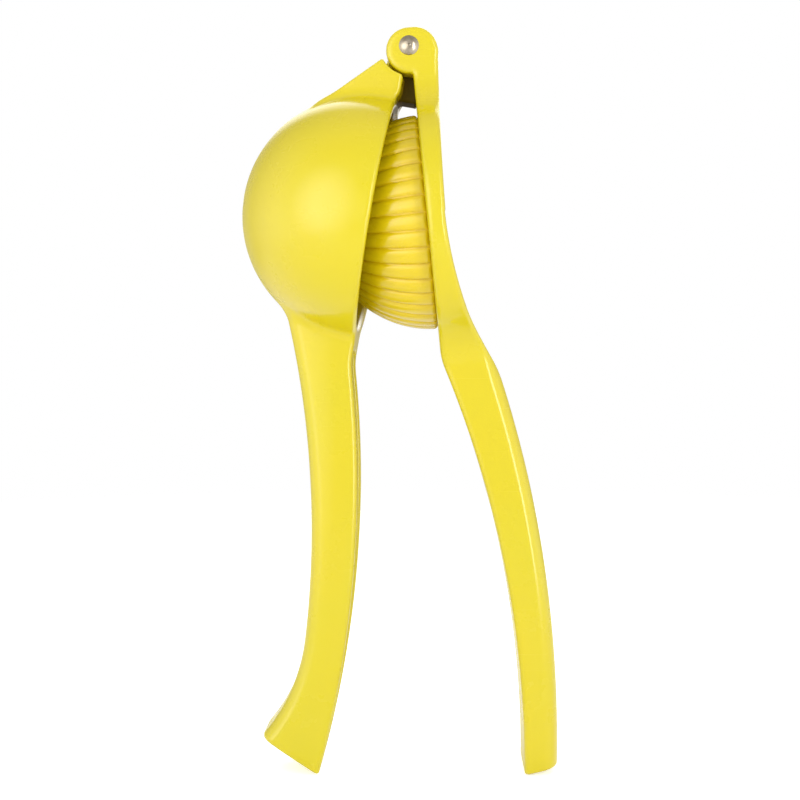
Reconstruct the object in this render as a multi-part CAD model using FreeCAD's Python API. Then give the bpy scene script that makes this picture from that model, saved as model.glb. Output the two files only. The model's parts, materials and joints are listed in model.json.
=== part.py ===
"""Hand-held citrus squeezer: two cast arms, a cup and a fluted dome, turning on one hinge pin.

Units are millimetres and +Z is up.  The pin runs along Y.  The squeezer stands slightly open on
the ends of its two handles, and the origin is below its middle, at that level.

Each arm is drawn closed and upright, and then turned about the pin.  There a point has a drop u,
measured down from the pin, and an outset v, measured away from the other arm.
"""

import FreeCAD, Part
import math
import os

Vector = FreeCAD.Vector

# Stance: how far each arm leans away from upright when the squeezer stands
bowl_arm_lean = 9.8
plunger_arm_lean = 5.6

# Hinge: the pin runs through two ears, with a tongue between them
pin_radius = 2.5
pin_head_overhang = 0.4
pin_head_height = 1.1
pin_running_clearance = 0.05
tongue_thickness = 9.2
tongue_wall = 2.9
tongue_nose_length = 9.6
tongue_nose_taper = 0.9
tongue_root_bite = 1.25
side_gap = 0.4
swing_gap = 0.4
ear_thickness = 7.0
ear_wall = 3.05
ear_drop = 1.25
ear_shoulder = 1.5

tongue_radius = pin_radius + tongue_wall
tongue_nose_drop = tongue_radius + tongue_nose_length
tongue_nose_reach = tongue_radius - tongue_nose_taper
knuckle_width = tongue_thickness + 2 * (side_gap + ear_thickness)
ear_radius = pin_radius + ear_drop + ear_wall
strap_back_outset = ear_radius + ear_shoulder

# Cup on the bowl arm
cup_radius = 36.3
cup_wall = 3.0
cup_collar = 3.9
cup_over_nose = 0.6
rim_outset = 1.05
rim_round = 1.2
neck_outset = 0.2
neck_top_angle = 45.0
neck_top_offset = 1.5
juice_slots = 5
juice_slot_start = 2.7
juice_slot_end = 7.2
juice_slot_width = 2.4

cup_centre_drop = tongue_nose_drop - cup_over_nose + cup_radius
cup_bottom_drop = cup_centre_drop + cup_radius

# Pressing dome and its flange on the plunger arm
juice_gap = 1.3
dome_wall = 3.2
dome_sink = 0.7
flute_count = 40
flute_radius = 0.5
flute_first_angle = 15.0
flute_last_angle = 84.0
flange_outset = 0.4
flange_thickness = 5.0
flange_waist_below_centre = 0.3
flange_lower_curve = 100.0
hip_above_cup_bottom = 3.0
root_blend = 9.0

dome_radius = cup_radius - cup_wall - juice_gap
dome_outset = flange_outset + dome_sink
flange_radius = cup_radius
flange_waist_drop = cup_centre_drop + flange_waist_below_centre

# Handles: the bowl arm's is open towards the other arm, the plunger arm's at its back
handle_length = 127.4
handle_width = 21.0
handle_wall = 2.8
handle_end_wall = 3.0
channel_floor_round = 3.0
grip_apex_below_cup = 97.0

bowl_grip_inner_outset = -11.5
bowl_grip_inner_curve = 328.0
bowl_grip_root_outset = 20.7
bowl_grip_root_overlap = 17.0
bowl_grip_flare_length = 35.1
bowl_grip_flare_outset = 0.7
bowl_grip_flare_curve = 52.0
bowl_grip_join_turn = 3.0
bowl_grip_end_slant = 8.0
bowl_grip_corner_round = 3.6
bowl_channel_root_gap = 3.5

plunger_grip_inner_outset = 14.4
plunger_grip_inner_curve = 310.0
plunger_grip_outer_outset = 25.35
plunger_grip_outer_apex_below_cup = 85.0
plunger_grip_outer_curve = 345.0
plunger_grip_end_slant = 1.2
plunger_grip_corner_round = 4.5
plunger_grip_shoulder_below_cup = 8.0
plunger_channel_lip = 0.4
plunger_channel_root_gap = 9.0

bowl_grip_length = cup_bottom_drop + handle_length
grip_apex_drop = cup_bottom_drop + grip_apex_below_cup
plunger_grip_outer_drop = cup_bottom_drop + plunger_grip_outer_apex_below_cup
plunger_grip_shoulder_drop = cup_bottom_drop + plunger_grip_shoulder_below_cup

# Drawing aids: a length past everything, how near two lengths must be to count as equal, and
# how many rounds bring the ends of the two handles level
AWAY = bowl_grip_length
NEAR = 0.001
LEVEL_ROUNDS = 20


class Side:
    """One arm's own drawing plane: sign is -1 for the bowl arm and +1 for the plunger arm."""

    def __init__(self, sign):
        self.sign = sign

    def point(self, u, v, y=0.0):
        return Vector(self.sign * v, y, -u)

    def prism(self, edges, width):
        """The closed outline of edges, as a plate of the given width centred on the mid-plane."""
        face = Part.Face(Part.Wire(edges))
        face.translate(Vector(0, -width / 2, 0))
        return face.extrude(Vector(0, width, 0))

    def polygon(self, corners, width):
        points = [self.point(u, v) for u, v in corners]
        return self.prism(Part.makePolygon(points + points[:1]).Edges, width)

    def line(self, start, end):
        return Part.makeLine(self.point(*start), self.point(*end))

    def arc(self, start, middle, end):
        return Part.Arc(self.point(*start), self.point(*middle), self.point(*end)).toShape()

    def disc(self, u, v, radius, width):
        return Part.makeCylinder(radius, width, self.point(u, v, -width / 2), Vector(0, 1, 0))

    def round_bar(self, u, v_start, v_end, radius):
        """A cylinder along v, whose axis is at drop u."""
        start = self.point(u, min(v_start, v_end))
        return Part.makeCylinder(radius, abs(v_end - v_start), start, Vector(self.sign, 0, 0))

    def block(self, u_start, u_end, v_start, v_end, width):
        corners = [(u_start, v_start), (u_end, v_start), (u_end, v_end), (u_start, v_end)]
        return self.polygon(corners, width)

    def lean(self, shape, degrees):
        """Turn the arm about the pin, so that its lower end swings outwards."""
        turned = shape.copy()
        turned.rotate(Vector(0, 0, 0), Vector(0, 1, 0), -self.sign * degrees)
        return turned


def outset_on_arc(u, apex_u, apex_v, curve):
    """Outset of an arc whose turning point is the apex; a negative curve bends inwards."""
    bend = abs(curve) - math.sqrt(curve * curve - (u - apex_u) ** 2)
    return apex_v + math.copysign(bend, curve)


def arc_between(side, u_start, u_end, apex_u, apex_v, curve):
    """The edge of that arc from one drop to another."""
    drops = (u_start, (u_start + u_end) / 2, u_end)
    points = [(u, outset_on_arc(u, apex_u, apex_v, curve)) for u in drops]
    return side.arc(*points)


def drop_on_arc(v, apex_u, apex_v, curve):
    """Drop, above the apex, at which that arc reaches the outset v."""
    bend = abs(v - apex_v)
    return apex_u - math.sqrt(bend * (2 * abs(curve) - bend))


def tangent_point(corner, radius, turn):
    """Where a line from corner touches a circle about the pin; turn is +1 or -1."""
    distance = math.hypot(*corner)
    angle = math.atan2(corner[1], corner[0]) + turn * math.acos(radius / distance)
    return radius * math.cos(angle), radius * math.sin(angle)


def edges_at_width(shape, width, test):
    """The edges on the two side faces of a plate that pass the test on their middle point."""
    chosen = []
    for edge in shape.Edges:
        middle = edge.valueAt((edge.FirstParameter + edge.LastParameter) / 2)
        ends_level = all(abs(abs(v.Y) - width / 2) < NEAR for v in edge.Vertexes)
        if ends_level and abs(abs(middle.y) - width / 2) < NEAR and test(middle):
            chosen.append(edge)
    return chosen


def revolved_cup(side, radius, wall):
    """The cup's shell: a hemisphere on a short straight collar, with a rounded rim."""
    centre_v = rim_outset + cup_collar
    inner = radius - wall

    def at(r, v):
        return side.point(cup_centre_drop - r, v)

    slope = math.sqrt(0.5)
    r_out = rim_round * (1 - slope)
    edges = [
        Part.Arc(at(0, centre_v + radius), at(radius * slope, centre_v + radius * slope),
                 at(radius, centre_v)).toShape(),
        Part.makeLine(at(radius, centre_v), at(radius, rim_outset + rim_round)),
        Part.Arc(at(radius, rim_outset + rim_round), at(radius - r_out, rim_outset + r_out),
                 at(radius - rim_round, rim_outset)).toShape(),
        Part.makeLine(at(radius - rim_round, rim_outset), at(inner + rim_round, rim_outset)),
        Part.Arc(at(inner + rim_round, rim_outset), at(inner + r_out, rim_outset + r_out),
                 at(inner, rim_outset + rim_round)).toShape(),
        Part.makeLine(at(inner, rim_outset + rim_round), at(inner, centre_v)),
        Part.Arc(at(inner, centre_v), at(inner * slope, centre_v + inner * slope),
                 at(0, centre_v + inner)).toShape(),
        Part.makeLine(at(0, centre_v + inner), at(0, centre_v + radius)),
    ]
    face = Part.Face(Part.Wire(edges))
    return face.revolve(side.point(cup_centre_drop, 0), Vector(1, 0, 0), 360)


def cup_cavity(side):
    """The space inside the cup, carried on outwards past the rim."""
    centre_v = rim_outset + cup_collar
    inner = cup_radius - cup_wall
    ball = Part.makeSphere(inner, side.point(cup_centre_drop, centre_v))
    mouth = side.round_bar(cup_centre_drop, -AWAY, centre_v, inner)
    return ball.fuse(mouth)


def bowl_neck(side):
    """The solid neck from the cup to the hinge, hollowed round the ears of the other arm."""
    angle = math.radians(neck_top_angle)
    reach = cup_radius + cup_collar
    relief = ear_drop + ear_radius + swing_gap
    foot = (-neck_top_offset * math.sin(angle), neck_top_offset * math.cos(angle))

    def on_top_edge(distance):
        return foot[0] + distance * math.cos(angle), foot[1] + distance * math.sin(angle)

    step_end = cup_centre_drop - cup_radius + rim_round
    corners = [
        (0.0, neck_outset),
        (step_end - rim_round, neck_outset),
        (step_end, rim_outset),
        (on_top_edge(reach)[0], rim_outset),
        on_top_edge(reach),
        on_top_edge(0.0),
    ]
    plate = side.polygon(corners, knuckle_width)
    return plate.cut(side.disc(0.0, 0.0, relief, knuckle_width))


def bowl_tongue(side):
    """The plate between the two ears, from the neck round the pin to a nose below it."""
    angle = math.radians(neck_top_angle)
    root = (2 * tongue_radius * math.cos(angle), 2 * tongue_radius * math.sin(angle))
    nose = (tongue_nose_drop, -tongue_nose_reach)
    corners = [
        root,
        tangent_point(root, tongue_radius, 1),
        tangent_point(nose, tongue_radius, -1),
        nose,
        (tongue_nose_drop, rim_outset + tongue_root_bite),
    ]
    return side.polygon(corners, tongue_thickness).fuse(
        side.disc(0.0, 0.0, tongue_radius, tongue_thickness))


def bowl_grip_outer(offset):
    """Centres and radii of the flare and of the long arc, for the outer line moved in by offset.

    The long arc passes through the outer side of the root and touches the flare, where the flare
    has turned by bowl_grip_join_turn.
    """
    turn = math.radians(bowl_grip_join_turn)
    towards = (math.sin(turn), math.cos(turn))
    flare_centre = (bowl_grip_length - bowl_grip_flare_length,
                    bowl_grip_flare_outset + bowl_grip_flare_curve)
    join = [c - bowl_grip_flare_curve * t for c, t in zip(flare_centre, towards)]
    span = (cup_bottom_drop - join[0], bowl_grip_root_outset - join[1])
    rise = span[0] * towards[0] + span[1] * towards[1]
    long_curve = (span[0] ** 2 + span[1] ** 2) / (2 * rise)
    long_centre = [c + long_curve * t for c, t in zip(join, towards)]
    return flare_centre, bowl_grip_flare_curve + offset, long_centre, long_curve + offset


def on_circle(u, centre, radius):
    """Outset of the near side of a circle at drop u."""
    return centre[1] - math.sqrt(radius ** 2 - (u - centre[0]) ** 2)


def bowl_grip_outer_edges(side, u_start, u_end, offset):
    """That outer line from the root to the end, as two edges, and the outsets of its two ends."""
    flare_centre, flare, long_centre, long = bowl_grip_outer(offset)
    u_join = flare_centre[0] - flare * math.sin(math.radians(bowl_grip_join_turn))

    def arc(start, end, centre, radius):
        drops = (start, (start + end) / 2, end)
        return side.arc(*[(u, on_circle(u, centre, radius)) for u in drops])

    edges = [arc(u_start, u_join, long_centre, long), arc(u_join, u_end, flare_centre, flare)]
    return edges, on_circle(u_start, long_centre, long), on_circle(u_end, flare_centre, flare)


def bowl_grip(side):
    """The bowl arm's handle: a solid bar with rounded outer corners, before it is hollowed."""
    root = cup_bottom_drop - bowl_grip_root_overlap
    bend = (grip_apex_drop, bowl_grip_inner_outset, bowl_grip_inner_curve)
    turn = drop_on_arc(rim_outset, *bend)
    end_inner = outset_on_arc(bowl_grip_length, *bend)
    outer, start_v, end_v = bowl_grip_outer_edges(
        side, root, bowl_grip_length - bowl_grip_end_slant, 0.0)
    edges = [
        side.line((root, start_v), (root, rim_outset)),
        side.line((root, rim_outset), (turn, rim_outset)),
        arc_between(side, turn, bowl_grip_length, *bend),
        side.line((bowl_grip_length, end_inner),
                  (bowl_grip_length - bowl_grip_end_slant, end_v)),
    ] + outer
    bar = side.prism(Part.__sortEdges__(edges), handle_width)

    def on_outer_line(middle):
        u, v = -middle.z, side.sign * middle.x
        along = root < u < bowl_grip_length - bowl_grip_end_slant
        return along and v > (outset_on_arc(u, *bend) if u > turn else rim_outset) + handle_wall

    long_edges = edges_at_width(bar, handle_width, on_outer_line)
    return bar.makeFillet(bowl_grip_corner_round, long_edges)


def bowl_channel(side):
    """The hollow of that handle, open towards the other arm."""
    start = cup_bottom_drop + bowl_channel_root_gap
    end = bowl_grip_length - handle_end_wall
    outer, start_v, end_v = bowl_grip_outer_edges(
        side, start, end - bowl_grip_end_slant, handle_wall)
    edges = [
        side.line((start, start_v), (start, -AWAY)),
        side.line((start, -AWAY), (end, -AWAY)),
        side.line((end, -AWAY), (end, bowl_grip_inner_outset)),
        side.line((end, bowl_grip_inner_outset), (end - bowl_grip_end_slant, end_v)),
    ] + outer
    inner_width = handle_width - 2 * handle_wall
    bar = side.prism(Part.__sortEdges__(edges), inner_width)

    def on_outer_line(middle):
        u, v = -middle.z, side.sign * middle.x
        return start < u < end - bowl_grip_end_slant and v > bowl_grip_inner_outset + handle_wall

    long_edges = edges_at_width(bar, inner_width, on_outer_line)
    return bar.makeFillet(channel_floor_round, long_edges)


def rounded_plan(side, strips, v_start, v_end, radius):
    """A disc joined to straight strips, with the inside corners between them rounded."""
    plan = side.round_bar(cup_centre_drop, v_start, v_end, radius)
    for u_start, u_end, width in strips:
        plan = plan.fuse(side.block(u_start, u_end, v_start, v_end, width))
    plan = plan.removeSplitter()
    corners = []
    for edge in plan.Edges:
        middle = edge.valueAt((edge.FirstParameter + edge.LastParameter) / 2)
        from_centre = math.hypot(middle.y, -middle.z - cup_centre_drop)
        along_v = abs(abs(edge.tangentAt(edge.FirstParameter).x) - 1) < NEAR
        if along_v and abs(from_centre - radius) < NEAR:
            corners.append(edge)
    return plan.makeFillet(root_blend, corners)


def bowl_arm():
    side = Side(-1)
    centre_v = rim_outset + cup_collar
    shell = revolved_cup(side, cup_radius, cup_wall)
    strips = [
        (cup_centre_drop - cup_radius - root_blend, cup_centre_drop, knuckle_width),
        (cup_centre_drop, cup_centre_drop + cup_radius + root_blend, handle_width),
    ]
    collar = rounded_plan(side, strips, rim_outset, centre_v, cup_radius - rim_round)
    relief = ear_drop + ear_radius + swing_gap
    collar = collar.cut(side.disc(0.0, 0.0, relief, 2 * AWAY))
    solid = bowl_neck(side).fuse([collar, bowl_grip(side)])
    solid = solid.cut([cup_cavity(side), bowl_channel(side)])
    solid = solid.fuse([shell, bowl_tongue(side).cut(cup_cavity(side))])
    bore = side.disc(0.0, 0.0, pin_radius + pin_running_clearance, 2 * AWAY)
    solid = solid.cut([bore] + juice_slot_cutters(side))
    return side.lean(solid.removeSplitter(), bowl_arm_lean)


def juice_slot_cutters(side):
    """Radial slots round the bottom of the cup; one points to the handle."""
    radius = juice_slot_width / 2
    cutters = []
    for index in range(juice_slots):
        length = juice_slot_end - juice_slot_start - juice_slot_width
        start_u = cup_centre_drop + juice_slot_start + radius
        bottom = rim_outset + cup_collar + cup_radius / 2
        slot = side.round_bar(start_u, bottom, AWAY, radius)
        slot = slot.fuse(side.round_bar(start_u + length, bottom, AWAY, radius))
        slot = slot.fuse(side.block(start_u, start_u + length, bottom, AWAY, juice_slot_width))
        slot.rotate(side.point(cup_centre_drop, 0), Vector(1, 0, 0), index * 360 / juice_slots)
        cutters.append(slot)
    return cutters


def plunger_plate(side):
    """Side outline of the plunger arm: strap, flange and handle, as one solid plate."""
    bend = (grip_apex_drop, plunger_grip_inner_outset, -plunger_grip_inner_curve)
    back = (plunger_grip_outer_drop, plunger_grip_outer_outset, -plunger_grip_outer_curve)
    waist_v = flange_outset + flange_thickness
    waist = (flange_waist_drop, waist_v, flange_lower_curve)
    length = plunger_grip_length()
    back_end = length - plunger_grip_end_slant
    turn = drop_on_arc(flange_outset, *bend)
    shoulder = (plunger_grip_shoulder_drop, outset_on_arc(plunger_grip_shoulder_drop, *back))
    hip_drop = cup_bottom_drop - hip_above_cup_bottom
    hip = (hip_drop, outset_on_arc(hip_drop, *waist))
    edges = [
        side.line((ear_drop, strap_back_outset), (ear_drop, flange_outset)),
        side.line((ear_drop, flange_outset), (turn, flange_outset)),
        arc_between(side, turn, length, *bend),
        side.line((length, outset_on_arc(length, *bend)),
                  (back_end, outset_on_arc(back_end, *back))),
        arc_between(side, shoulder[0], back_end, *back),
        side.line(shoulder, hip),
        arc_between(side, flange_waist_drop, hip_drop, *waist),
        side.line((flange_waist_drop, waist_v), (ear_drop, strap_back_outset)),
    ]
    return side.prism(Part.__sortEdges__(edges), 2 * AWAY)


def plunger_grip_length():
    """Drop of the plunger arm's end, which stands on the same level as the bowl arm's end."""
    bowl_lean = math.radians(bowl_arm_lean)
    lean = math.radians(plunger_arm_lean)
    bowl_end_v = outset_on_arc(
        bowl_grip_length, grip_apex_drop, bowl_grip_inner_outset, bowl_grip_inner_curve)
    level = bowl_grip_length * math.cos(bowl_lean) - bowl_end_v * math.sin(bowl_lean)
    length = bowl_grip_length
    for _ in range(LEVEL_ROUNDS):
        end_v = outset_on_arc(
            length, grip_apex_drop, plunger_grip_inner_outset, -plunger_grip_inner_curve)
        length = (level + end_v * math.sin(lean)) / math.cos(lean)
    return length


def plunger_grip_rounding(side, length):
    """Plan strip for the handle, with its two back corners rounded along the whole length."""
    start = plunger_grip_shoulder_drop
    back = (plunger_grip_outer_drop, plunger_grip_outer_outset, -plunger_grip_outer_curve)
    edges = [
        side.line((start, -AWAY), (start, outset_on_arc(start, *back))),
        arc_between(side, start, length, *back),
        side.line((length, outset_on_arc(length, *back)), (length, -AWAY)),
        side.line((length, -AWAY), (start, -AWAY)),
    ]
    bar = side.prism(Part.__sortEdges__(edges), handle_width)

    def on_back_line(middle):
        return start < -middle.z < length and side.sign * middle.x > 0

    long_edges = edges_at_width(bar, handle_width, on_back_line)
    return bar.makeFillet(plunger_grip_corner_round, long_edges)


def plunger_channel(side, length):
    """The hollow of the plunger arm's handle, open at its back, with two rounded floor edges."""
    start = cup_bottom_drop + plunger_channel_root_gap
    end = length - handle_end_wall - plunger_grip_end_slant
    floor = (grip_apex_drop, plunger_grip_inner_outset + handle_wall,
             -plunger_grip_inner_curve - handle_wall)
    edges = [
        side.line((start, AWAY), (start, outset_on_arc(start, *floor))),
        arc_between(side, start, end, *floor),
        side.line((end, outset_on_arc(end, *floor)), (end, AWAY)),
        side.line((end, AWAY), (start, AWAY)),
    ]
    width = handle_width - 2 * (plunger_grip_corner_round + plunger_channel_lip)
    bar = side.prism(Part.__sortEdges__(edges), width)

    def on_floor_line(middle):
        return start < -middle.z < end and side.sign * middle.x < AWAY / 2

    return bar.makeFillet(channel_floor_round, edges_at_width(bar, width, on_floor_line))


def plunger_ears(side):
    """Two rounded ears, one each side of the tongue, drawn as one plate before the slot."""
    shoulder_v = strap_back_outset - ear_radius
    ears = side.disc(ear_drop, 0.0, ear_radius, knuckle_width)
    ears = ears.fuse([
        side.disc(ear_drop, shoulder_v, ear_radius, knuckle_width),
        side.block(ear_drop - ear_radius, ear_drop, 0.0, shoulder_v, knuckle_width),
        side.block(ear_drop, ear_drop + ear_radius, flange_outset, shoulder_v, knuckle_width),
    ])
    return ears


def flute_cutters(side):
    """Thin round grooves down the dome, evenly spaced, which leave the ribs between them."""
    centre = side.point(cup_centre_drop, dome_outset)
    sweep = flute_last_angle - flute_first_angle
    cutters = []
    for index in range(flute_count):
        groove = Part.makeTorus(dome_radius, flute_radius, Vector(0, 0, 0), Vector(0, 0, 1),
                                0, 360, sweep)
        groove.rotate(Vector(0, 0, 0), Vector(0, 0, 1), 180 - flute_last_angle)
        groove.rotate(Vector(0, 0, 0), Vector(1, 0, 0), (index + 0.5) * 360 / flute_count)
        groove.translate(centre)
        cutters.append(groove)
    return cutters


def plunger_arm():
    side = Side(1)
    length = plunger_grip_length()
    strips = [
        (ear_drop, cup_centre_drop, knuckle_width),
        (cup_centre_drop, length, handle_width),
    ]
    plan = rounded_plan(side, strips, -AWAY, AWAY, flange_radius)
    body = plunger_plate(side).common(plan)
    beyond = side.block(plunger_grip_shoulder_drop, length, -AWAY, AWAY, 2 * AWAY)
    body = body.cut(beyond.cut(plunger_grip_rounding(side, length)))
    body = body.fuse(plunger_ears(side))
    ball = Part.makeSphere(dome_radius, side.point(cup_centre_drop, dome_outset))
    dome = ball.cut(side.block(-AWAY, 2 * AWAY, flange_outset + flange_thickness / 2, AWAY,
                               2 * AWAY))
    body = body.fuse(dome.cut(flute_cutters(side)))
    hollow_radius = dome_radius - dome_wall
    hollow = Part.makeSphere(hollow_radius, side.point(cup_centre_drop, dome_outset))
    back_opening = side.round_bar(cup_centre_drop, dome_outset, AWAY, hollow_radius)
    slot_bottom = math.hypot(tongue_nose_drop, tongue_nose_reach) + swing_gap
    slot = side.block(-AWAY, slot_bottom, -AWAY, AWAY, tongue_thickness + 2 * side_gap)
    bore = side.disc(0.0, 0.0, pin_radius, 2 * AWAY)
    body = body.cut([hollow, back_opening, slot, plunger_channel(side, length), bore])
    return side.lean(body.removeSplitter(), plunger_arm_lean)


def hinge_pin():
    """A plain pin with a low domed head at each end, set in the ears."""
    half = knuckle_width / 2
    shank = Part.makeCylinder(pin_radius, knuckle_width, Vector(0, -half, 0), Vector(0, 1, 0))
    pin_head_radius = pin_radius + pin_head_overhang
    ball_radius = (pin_head_radius ** 2 + pin_head_height ** 2) / (2 * pin_head_height)
    pin = shank
    for end in (-1, 1):
        ball = Part.makeSphere(ball_radius, Vector(0, end * (half + pin_head_height - ball_radius), 0))
        keep = Part.makeCylinder(pin_head_radius, 2 * pin_head_height, Vector(0, end * half, 0),
                                 Vector(0, end, 0))
        pin = pin.fuse(ball.common(keep))
    return pin.removeSplitter()


def main():
    nodes = {"bowl_arm": bowl_arm(), "plunger_arm": plunger_arm(), "hinge_pin": hinge_pin()}
    box = Part.makeCompound(list(nodes.values())).optimalBoundingBox(False, False)
    to_origin = Vector(-(box.XMin + box.XMax) / 2, -(box.YMin + box.YMax) / 2, -box.ZMin)
    os.makedirs("parts", exist_ok=True)
    for name, shape in nodes.items():
        shape.translate(to_origin)
        shape.exportStep("parts/" + name + ".step")
        print(name, len(shape.Solids), "solid", round(shape.Volume / 1000, 2), "cm3",
              "valid" if shape.isValid() else "NOT VALID")
    print("pin centre at", [round(c, 4) for c in to_origin])


main()
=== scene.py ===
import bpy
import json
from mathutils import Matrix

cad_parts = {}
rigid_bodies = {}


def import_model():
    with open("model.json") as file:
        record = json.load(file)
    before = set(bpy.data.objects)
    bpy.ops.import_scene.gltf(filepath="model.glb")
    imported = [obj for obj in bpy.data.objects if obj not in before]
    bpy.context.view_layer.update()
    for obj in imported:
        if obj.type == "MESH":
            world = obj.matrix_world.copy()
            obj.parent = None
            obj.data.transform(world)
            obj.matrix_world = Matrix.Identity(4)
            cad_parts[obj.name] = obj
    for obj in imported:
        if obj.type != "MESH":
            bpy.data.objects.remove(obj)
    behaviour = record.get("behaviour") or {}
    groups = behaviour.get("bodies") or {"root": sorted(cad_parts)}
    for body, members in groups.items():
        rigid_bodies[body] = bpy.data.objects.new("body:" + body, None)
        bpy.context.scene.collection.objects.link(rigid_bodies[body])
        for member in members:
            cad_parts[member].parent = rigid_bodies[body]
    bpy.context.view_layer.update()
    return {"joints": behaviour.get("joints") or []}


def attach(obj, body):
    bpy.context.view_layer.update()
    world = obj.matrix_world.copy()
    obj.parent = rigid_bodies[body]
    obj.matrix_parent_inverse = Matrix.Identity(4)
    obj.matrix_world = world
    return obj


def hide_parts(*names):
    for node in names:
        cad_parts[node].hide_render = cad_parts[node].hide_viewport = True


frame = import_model()

import json
import math

import bpy
import numpy as np
from bpy.props import FloatProperty, FloatVectorProperty, IntProperty, PointerProperty

bl_info = {
    "name": "Citrus Squeezer",
    "version": (1, 0, 0),
    "blender": (4, 5, 0),
    "location": "View3D > Sidebar > Squeezer",
    "description": "Builds an enamelled hand-held citrus squeezer round its CAD frame",
    "category": "Object",
}

MM = 0.001
PIN = np.array(frame["joints"][0]["pos_m"]) / MM
BOWL_BODY = frame["joints"][0]["parent"]
PLUNGER_BODY = frame["joints"][0]["child"]

# The castings are drawn in millimetres: u is the drop below the pin along an arm, v the distance
# outwards from the plane through the pin, and y the distance along the pin.
BOWL_LEAN = math.radians(9.8)
PLUNGER_LEAN = math.radians(5.6)
CENTRE_DROP = 50.7
EAR_DROP = 1.25
EAR_RADIUS = 6.8
KNUCKLE_HALF = 12.0
HANDLE_HALF = 10.5
HANDLE_WALL = 2.8
GRIP_APEX = 184.0
GRIP_ARC_START = 60.0
WAIST_DROP = 51.0
STRAP_TOP = 8.3
CHANNEL_HALF = 5.6
TONGUE_HALF = 4.6
FORK_HALF = 5.0
FORK_DROP = 16.06
SWING_GAP = 0.4
CHANNEL_EDGE = 0.9
CHANNEL_ROOT_ROUND = 2.0

# Arcs as (drop of the turning point, its outset, radius): the radius is negative where the arc
# bends inwards.
BOWL_INNER_ARC = (GRIP_APEX, -11.5, 328.0)
PLUNGER_INNER_ARC = (GRIP_APEX, 14.4, -310.0)
PLUNGER_OUTER_ARC = (172.0, 25.35, -345.0)


# ---------------------------------------------------------------------------------------------
# Settings
# ---------------------------------------------------------------------------------------------

def millimetres(name, description, default):
    return FloatProperty(name=name, description=description, default=default, min=0.0)


class BowlSettings(bpy.types.PropertyGroup):
    cell: millimetres("Mesh cell", "Spacing of the grid that the casting is worked out on, in mm", 0.72)
    radius: millimetres("Cup radius", "Outer radius of the cup, in mm", 36.3)
    wall: millimetres("Cup wall", "Thickness of the cup, in mm", 3.0)
    collar: millimetres("Collar", "Straight part between rim and hemisphere, in mm", 3.9)
    rim: millimetres("Rim outset", "Distance of the rim from the plane of the pin, in mm", 1.05)
    neck_blend: millimetres("Neck fillet", "Radius between the neck and the cup, in mm", 2.6)
    handle_blend: millimetres("Handle fillet", "Radius between the handle and the cup, in mm", 2.4)
    back_round: millimetres("Handle rounding", "Radius of the handle's outer corners, in mm", 3.6)
    crown: millimetres("Handle crown", "How far the handle's sides swell at the middle, in mm", 0.7)


class PlungerSettings(bpy.types.PropertyGroup):
    cell: millimetres("Mesh cell", "Spacing of the grid that the casting is worked out on, in mm", 0.72)
    flange_radius: millimetres("Flange radius", "Radius of the round flange, in mm", 36.3)
    flange_face: millimetres("Flange face", "Distance of its face from the plane of the pin, in mm", 0.4)
    flange_thickness: millimetres("Flange thickness", "Thickness at its waist, in mm", 5.0)
    edge_round: millimetres("Edge rounding", "Radius of the flange's and ears' edges, in mm", 1.3)
    back_round: millimetres("Handle rounding", "Radius of the handle's back corners, in mm", 4.5)
    plan_blend: millimetres("Plan fillet", "Radius where ears and handle meet the flange, in mm", 9.0)


class DomeSettings(bpy.types.PropertyGroup):
    radius: millimetres("Dome radius", "Radius over the ribs, in mm", 32.0)
    outset: millimetres("Centre outset", "Distance of its centre from the plane of the pin, in mm", 1.1)
    ribs: IntProperty(name="Ribs", description="Ribs round the dome", default=40, min=8)
    depth: millimetres("Rib depth", "Height of a rib over its valley, in mm", 1.1)


class PinSettings(bpy.types.PropertyGroup):
    radius: millimetres("Pin radius", "Radius of the shank, in mm", 2.5)
    head_radius: millimetres("Head radius", "Radius of the domed head, in mm", 2.9)
    head_height: millimetres("Head height", "Height of the domed head, in mm", 1.1)


class FinishSettings(bpy.types.PropertyGroup):
    enamel: FloatVectorProperty(
        name="Enamel", description="Colour of the enamel", subtype="COLOR", size=3,
        min=0.0, max=1.0, default=(0.53, 0.447, 0.003))
    # Painted light and shade: hollows take this warmer, brighter colour, partly pooled enamel and partly
    # painted shade, and the dome takes it all over as painted light.
    enamel_pool_and_shade: FloatVectorProperty(
        name="Pooled enamel", description="Colour where the enamel lies thick", subtype="COLOR",
        size=3, min=0.0, max=1.0, default=(0.72, 0.47, 0.001))
    steel: FloatVectorProperty(
        name="Steel", description="Colour of the polished pin", subtype="COLOR", size=3,
        min=0.0, max=1.0, default=(0.40, 0.345, 0.26))


# ---------------------------------------------------------------------------------------------
# Distance fields: each is negative inside the metal, and whole arrays are worked out at once
# ---------------------------------------------------------------------------------------------

def round_union(a, b, radius):
    """Joins two fields: in the corner between them the result is the distance to a quarter circle."""
    inner = np.hypot(np.maximum(radius - a, 0), np.maximum(radius - b, 0))
    return np.maximum(radius, np.minimum(a, b)) - inner


def round_common(a, b, radius):
    """What two fields share, with the edge between them rounded to a quarter circle."""
    return -round_union(-a, -b, radius)


def soft_min(a, b, width):
    """The smaller of two curves, eased by a parabola where they are closer than width."""
    near = np.maximum(width - np.abs(a - b), 0) / width
    return np.minimum(a, b) - near * near * width / 4


def soft_max(a, b, width):
    return -soft_min(-a, -b, width)


def ease(x, start, end):
    """Rises smoothly from 0 at start to 1 at end."""
    t = np.clip((x - start) / (end - start), 0, 1)
    return t * t * (3 - 2 * t)


def arc_outset(u, apex_u, apex_v, curve):
    """Outset of a circular arc with its turning point at the apex; it bends outwards if curve > 0."""
    bend = abs(curve) - np.sqrt(np.maximum(curve * curve - (u - apex_u) ** 2, 0))
    return apex_v + math.copysign(1, curve) * bend


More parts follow.
